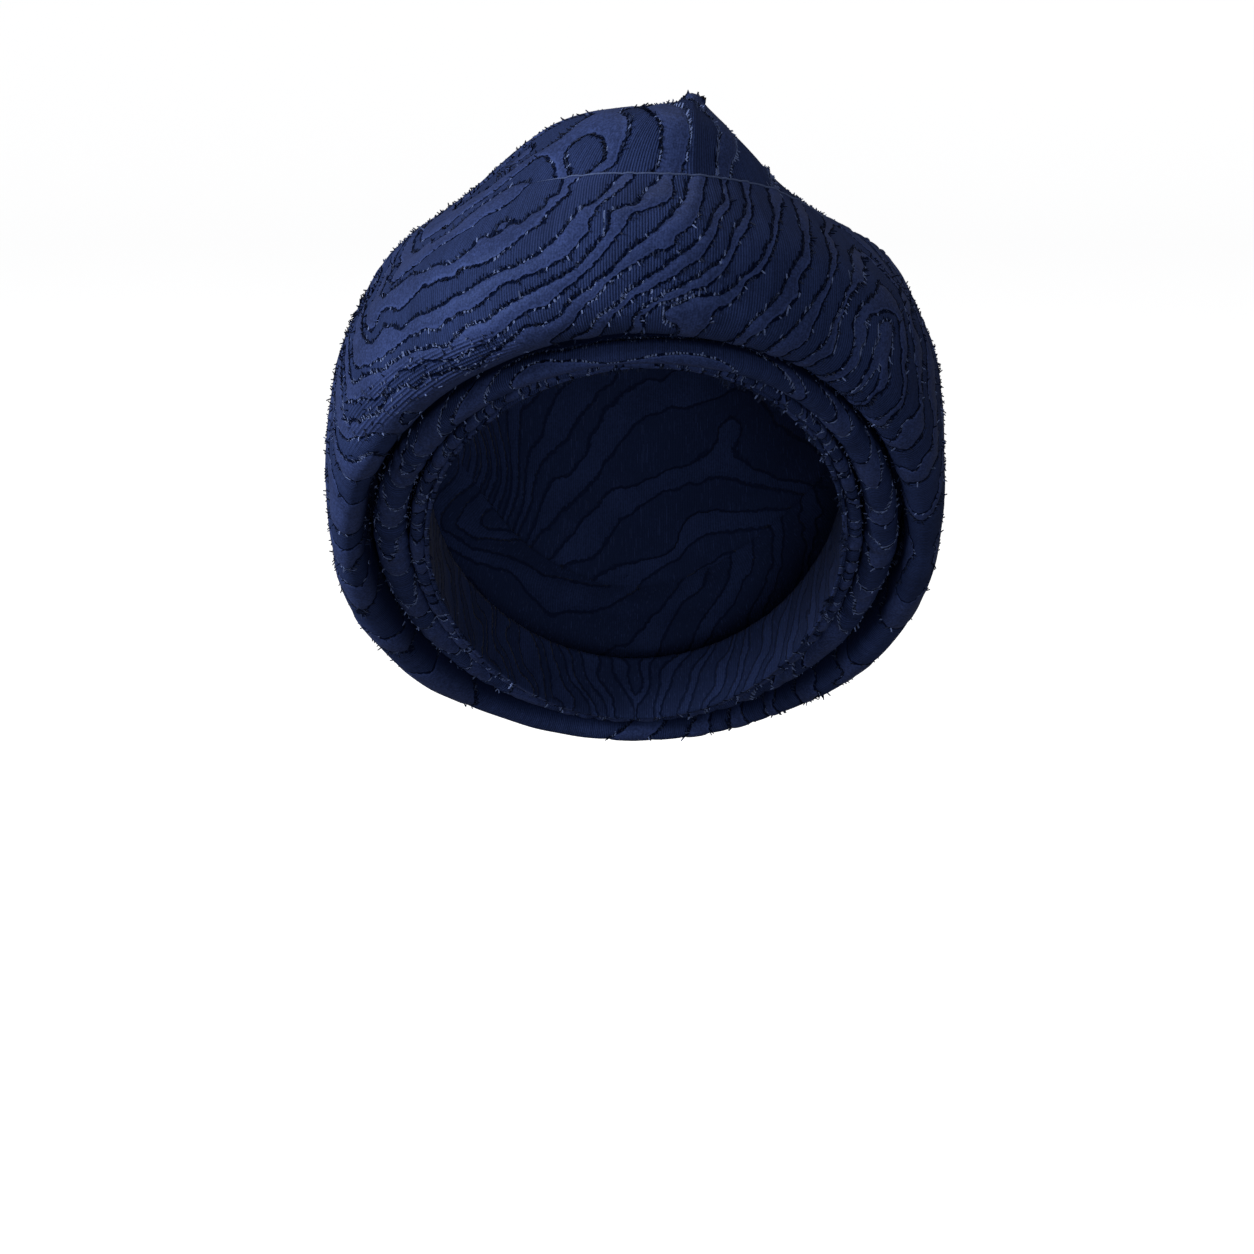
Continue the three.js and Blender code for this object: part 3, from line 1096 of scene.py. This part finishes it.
# The folds round the face: the height of their cross wrinkles, how many of their threads catch
# the light, how far their stripes puff out, their flat width, and the height in the band where
# a roll's outer face goes into shadow.
FOLD_CLOTHS = {
    "middle_fold": {"line": middle_fold_line, "cross": 1.2, "lit": 1.3, "puff": 0.3, "width": 62,
                    "shadow_from": 5.7},
    "inner_fold": {"line": inner_fold_line, "cross": 0.2, "lit": 0.8, "puff": 0.7, "width": 46,
                   "shadow_from": 2.6},
    "edge_strip": {"line": edge_strip_line, "cross": 0.2, "lit": 0.8, "puff": 0.3, "width": 24,
                   "shadow_from": None},
}
INSIDE_SHADOW_FROM = 3
SHADOW_FADE = 2
ROLL_NOSE = 0.46  # share of a roll's section that lies before its lowest point

WRAP_WRINKLES, FOLD_WRINKLES = 0.8, 0.3
CROSS_PITCH = 2.6
RIDGE_X = 19
RIDGE_WIDTH = 5
RIDGE_HEIGHT = 1.8
CREASE_ROLL = 0.36  # radius of the folded edge at the crease

# Where the hem is gathered: the angle, how far to each side, and the share of the section.
GATHER_AT, GATHER_REACH, GATHER_SHARE = -42, 26, 0.3
GATHER_THREADS = 150
GATHER_SEED = 13

# Places where a knot of threads floats over the stripes and catches the light.
LIT_FLOATS = (
    Vector((-21, -112, 129)),
    Vector((-7, -118, 108)),
    Vector((-91, -66, 56)),
    Vector((-99, -52, 42)),
    Vector((72, -100, 78)),
)
LIT_FLOAT_RADIUS = 5


def wrinkles(place, size):
    """Long shallow waves of the cloth, and shorter ones on them."""
    return noise.noise(place / 42) * 1.3 * size + noise.noise(place / 15) * 0.4 * size


def cross_wrinkles(place, size):
    """Small wrinkles across a rolled fold, where the roll is bent round the sides."""
    turned = math.degrees(math.atan2(place.x, -place.y))
    strength = smoothstep(abs(turned), 35, 65) * max(0, 0.55 + noise.noise(place / 26) * 1.6)
    bent = math.radians(turned) * 95 + 0.35 * place.z + noise.noise(place / 14) * 5
    return size * min(1, strength) * (abs(math.sin(bent / CROSS_PITCH)) ** 0.7 - 0.6)


def ridge(place):
    """The sharp ridge down the crown's front, from the peak to the wrap."""
    if place.y > -20:
        return 0
    away = abs(place.x - RIDGE_X - 0.6 * noise.noise(place / 8)) / RIDGE_WIDTH
    return RIDGE_HEIGHT * math.exp(-away) * smoothstep(place.z, 120, 150)


def crown_inset(cloth, column, row):
    """How far the crown lies inside the wrap's edge."""
    line = cloth.points[column]
    distance = max(0, row - TUCK_ROWS) * (line[-1] - line[-2]).length
    strength = crease_strength(cloth.angles[column])
    return CREASE_DEPTH * strength * math.exp(-((distance / CREASE_FADE) ** 2))


def lit_wrap(at, share, place):
    """The threads at the hem's lower edge catch the light, and some floats elsewhere."""
    hem = 1 - smoothstep(abs(share - 0.4), 0.04, 0.1)
    floats = sum(math.exp(-((place - spot).length / LIT_FLOAT_RADIUS) ** 2) for spot in LIT_FLOATS)
    patch = smoothstep(noise.noise(place / 22), 0.25, 0.5)
    # More painted glints towards the left, where the light falls.
    left = smoothstep(-place.x, 65, 90)
    return min(1.8, 0.5 * hem + 1.8 * floats + (0.4 + 0.5 * left) * patch)


def lit_crown(at, share, place):
    """The threads on the right of the ridge catch the light."""
    return 1.4 * smoothstep(place.x, 5, 25) * smoothstep(-place.y, 0, 40)


def gathered_hem(at, share, place):
    """How tightly the hem is gathered: only where it turns up over the left of the brow."""
    beside = 1 - smoothstep(abs(from_brow(at) - GATHER_AT), GATHER_REACH / 2, GATHER_REACH)
    return beside * (1 - smoothstep(abs(share - GATHER_SHARE), 0.045, 0.075))


def gather_spots(cloth):
    """Long loose threads that stand out of the gathered hem."""
    draw = random.Random(GATHER_SEED)
    normals = cloth.normals()
    spots = []
    while len(spots) < GATHER_THREADS:
        column, row = draw.randrange(cloth.columns), draw.randrange(cloth.rows)
        if cloth.gathered[column][row] < draw.random():
            continue
        after, before = cloth.along(cloth.points, column, row)
        away = (after - before).normalized()
        root, normal = cloth.points[column][row], normals[column][row]
        spots.append(Spot(root, normal, away, Vector((0, 0, 1)), 1.2, draw.uniform(0.8, 1.5)))
    return spots


def roll_shadow(outside_from):
    """How far a place lies up in the shadow between two rolls, from 0 to 1."""
    def shadow(at, share, place):
        low = outside_from if share > ROLL_NOSE else INSIDE_SHADOW_FROM
        return smoothstep(height_in_band(at, place), low, low + SHADOW_FADE)
    return shadow


def belongs(piece, slot, *nodes):
    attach(piece, "root")
    if nodes:
        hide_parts(*nodes)


def new_cloth(context, node, line):
    return Cloth(line, context.scene.wrap_sizes.columns, CLOTHS[node]["rows"])


def cloth_piece(context, node, cloth, lift):
    """The cloth that stands for a solid, with its stripes raised by a height."""
    cut = CLOTHS[node]
    cloth.push(lambda column, row, place: cloth.relief(column, row, lift))
    materials = [finish(context, name) for name in ("clipped_jacquard", "jacquard_reverse")]
    piece = cloth_object(f"{node}_cloth", cloth, cut["girth"], cut["wall"], materials)
    belongs(piece, cut["slot"], node)
    return piece


def thread_piece(context, node, cloth, more=()):
    """The clipped threads of a raised cloth, and more of them at the spots given."""
    sizes, cut = context.scene.wrap_sizes, CLOTHS[node]
    spots = [*thread_spots(cloth, cut["threads"], cut["seed"]), *more]
    piece = thread_object(
        f"{node}_threads", spots, sizes.thread_length * cut["reach"], sizes.thread_width,
        finish(context, "clipped_thread"), cut["seed"] + 1,
    )
    belongs(piece, cut["slot"])
    return piece


def crease_edge(context, cloth):
    """The wrap's folded upper edge, a thin roll along the crease."""
    columns = sorted(range(cloth.columns), key=lambda column: (cloth.angles[column] + 90) % 360)
    route = [
        cloth.points[column][-1] for column in columns
        if crease_strength(cloth.angles[column]) > 0.4
    ]
    # Its lighter cloth paints the highlight along the folded edge.
    piece = roll_object("crease_edge", route, CREASE_ROLL, finish(context, "crease_roll"))
    belongs(piece, "wrap_cloth")
    return piece


# ---------------------------------------------------------------- operators


class HEADWRAP_OT_outer_wrap(bpy.types.Operator):
    """Build the big outer wrap, with its rolled hem and its clipped threads"""

    bl_idname = "headwrap.outer_wrap"
    bl_label = "Outer Wrap"

    def execute(self, context):
        cloth = new_cloth(context, "outer_wrap", wrap_line)
        cloth.push(lambda column, row, place: WRAP_WALL / 2 + wrinkles(place, WRAP_WRINKLES))
        cloth.weave(panel_grain)
        cloth.lit = cloth.marked(lit_wrap)
        cloth.gathered = cloth.marked(gathered_hem)
        # Painted shade on the hem's turned-up inner side, down to where it starts to round under.
        cloth.tucked = cloth.marked(lambda at, share, place: 1 - smoothstep(share, 0.1, 0.17))
        piece = cloth_piece(context, "outer_wrap", cloth, context.scene.wrap_sizes.stripe_lift)
        threads = thread_piece(context, "outer_wrap", cloth, gather_spots(cloth))
        edge = crease_edge(context, cloth)
        return {"FINISHED"}


class HEADWRAP_OT_crown(bpy.types.Operator):
    """Build the closed crown with its peak and its clipped threads"""

    bl_idname = "headwrap.crown"
    bl_label = "Crown"

    def execute(self, context):
        cloth = new_cloth(context, "crown", crown_line)
        cloth.push(
            lambda column, row, place: WRAP_WALL / 2 + wrinkles(place, WRAP_WRINKLES)
            + ridge(place) - crown_inset(cloth, column, row)
        )
        cloth.weave(crown_grain)
        cloth.lit = cloth.marked(lit_crown)
        piece = cloth_piece(context, "crown", cloth, context.scene.wrap_sizes.stripe_lift)
        threads = thread_piece(context, "crown", cloth)
        return {"FINISHED"}


class HEADWRAP_OT_folds(bpy.types.Operator):
    """Build the folds round the face: the middle fold, the inner fold and the edge strip"""

    bl_idname = "headwrap.folds"
    bl_label = "Folds"

    def execute(self, context):
        for node, fold in FOLD_CLOTHS.items():
            self.build(context, node, fold, CLOTHS[node])
        return {"FINISHED"}

    def build(self, context, node, fold, cut):
        cloth = new_cloth(context, node, fold["line"])
        cloth.push(
            lambda column, row, place: cut["wall"] / 2 + wrinkles(place, FOLD_WRINKLES)
            + cross_wrinkles(place, fold["cross"])
        )
        cloth.weave(lambda at, place: fold_grain(FOLD_STRIPES[node], at, place))
        cloth.lit = cloth.marked(lambda at, share, place: fold["lit"])
        # Painted shade on each roll where it lies in the shadow between two layers.
        if fold["shadow_from"]:
            cloth.tucked = cloth.marked(roll_shadow(fold["shadow_from"]))
        piece = cloth_piece(context, node, cloth, fold["puff"])
        frayed = fray_spots(cut["seed"]) if node == "edge_strip" else ()
        threads = thread_piece(context, node, cloth, frayed)


CAMERA_AT = (-3.3, -1577.0, 292.4)
CAMERA_TILT = 78.4
CAMERA_LENS, CAMERA_SENSOR = 124.94, 36
CAMERA_REACH = 50  # metres

# The lamps: where they stand and how wide they are, in millimetres, and their watts.
LAMPS = (
    {"name": "key", "at": (-1620, -720, 620), "width": 500, "power": 27},
    {"name": "fill", "at": (250, -1780, 130), "width": 600, "power": 5.3},
    {"name": "top", "at": (100, 300, 1600), "width": 900, "power": 5},
)
LAMPS_AIM = Vector((0, 0, 30))
ROOM_COLOUR = (0.96, 0.97, 1.0, 1.0)
ROOM_LIGHT = 0.1
STAGE_LIGHT = 0.86

# The backdrop, in metres: a round floor, the curve up from it, and the wall.
FLOOR_Z = -0.224
STAGE_FLOOR, STAGE_CURVE, STAGE_WALL = 3.0, 1.5, 4.0
STAGE_COLUMNS, STAGE_ROWS = 96, 60


class HEADWRAP_OT_stage(bpy.types.Operator):
    """Build the floor, the backdrop, the lights and the camera"""

    bl_idname = "headwrap.stage"
    bl_label = "Stage"

    def execute(self, context):
        context.scene.view_settings.view_transform = "Standard"
        self.backdrop(context)
        for lamp in LAMPS:
            self.lamp(context, lamp)
        self.room(context)
        self.camera(context)
        return {"FINISHED"}

    def backdrop(self, context):
        """A round floor that curves up into a wall on every side."""
        bm = bmesh.new()
        bmesh.ops.create_grid(bm, x_segments=STAGE_COLUMNS, y_segments=STAGE_ROWS, size=0.5)
        bend = STAGE_CURVE * math.pi / 2
        for vert in bm.verts:
            around = math.tau * vert.co.x
            along = (vert.co.y + 0.5) * (STAGE_FLOOR + bend + STAGE_WALL)
            turn = min(bend, max(0, along - STAGE_FLOOR)) / STAGE_CURVE
            out = min(along, STAGE_FLOOR) + STAGE_CURVE * math.sin(turn)
            up = max(0, along - STAGE_FLOOR - bend) + STAGE_CURVE * (1 - math.cos(turn))
            vert.co = (out * math.sin(around), out * math.cos(around), FLOOR_Z + up)
        bmesh.ops.remove_doubles(bm, verts=bm.verts, dist=MM)
        bmesh.ops.recalc_face_normals(bm, faces=bm.faces)
        bmesh.ops.reverse_faces(bm, faces=bm.faces)
        for face in bm.faces:
            face.smooth = True
        paper = Shader("backdrop").surfaced(
            Base_Color=(*context.scene.wrap_colours.stage, 1.0), Roughness=0.9,
            Emission_Color=WHITE, Emission_Strength=STAGE_LIGHT,
        )
        piece = new_piece("backdrop", bm, paper)
        piece.visible_diffuse = False
        piece.visible_glossy = False

    def lamp(self, context, row):
        light = bpy.data.lights.new(row["name"], "AREA")
        light.energy = row["power"]
        light.size = row["width"] * MM
        lamp = bpy.data.objects.new(row["name"], light)
        lamp.location = Vector(row["at"]) * MM
        towards = LAMPS_AIM * MM - lamp.location
        lamp.rotation_euler = towards.to_track_quat("-Z", "Y").to_euler()
        context.scene.collection.objects.link(lamp)

    def room(self, context):
        world = bpy.data.worlds.new("room")
        context.scene.world = world
        world.use_nodes = True
        background = world.node_tree.nodes["Background"]
        background.inputs[0].default_value = ROOM_COLOUR
        background.inputs[1].default_value = ROOM_LIGHT

    def camera(self, context):
        lens = bpy.data.cameras.new("camera")
        lens.lens = CAMERA_LENS
        lens.sensor_width = CAMERA_SENSOR
        lens.clip_end = CAMERA_REACH
        camera = bpy.data.objects.new("camera", lens)
        camera.location = Vector(CAMERA_AT) * MM
        camera.rotation_euler = (math.radians(CAMERA_TILT), 0, 0)
        context.scene.collection.objects.link(camera)
        context.scene.camera = camera


STEPS = (HEADWRAP_OT_outer_wrap, HEADWRAP_OT_crown, HEADWRAP_OT_folds, HEADWRAP_OT_stage)


class HEADWRAP_PT_panel(bpy.types.Panel):
    bl_idname = "HEADWRAP_PT_panel"
    bl_label = "Head Wrap"
    bl_space_type = "VIEW_3D"
    bl_region_type = "UI"
    bl_category = "Head Wrap"

    def draw(self, context):
        for group in (context.scene.wrap_sizes, context.scene.wrap_colours):
            for name in group.__annotations__:
                self.layout.prop(group, name)
        for step in STEPS:
            self.layout.operator(step.bl_idname)


CLASSES = (WrapSizes, WrapColours, *STEPS, HEADWRAP_PT_panel)


def register():
    for each in CLASSES:
        bpy.utils.register_class(each)
    bpy.types.Scene.wrap_sizes = PointerProperty(type=WrapSizes)
    bpy.types.Scene.wrap_colours = PointerProperty(type=WrapColours)


def unregister():
    del bpy.types.Scene.wrap_colours
    del bpy.types.Scene.wrap_sizes
    for each in reversed(CLASSES):
        bpy.utils.unregister_class(each)


def main():
    register()
    bpy.ops.headwrap.outer_wrap()
    bpy.ops.headwrap.crown()
    bpy.ops.headwrap.folds()
    bpy.ops.headwrap.stage()


if __name__ == "__main__":
    main()
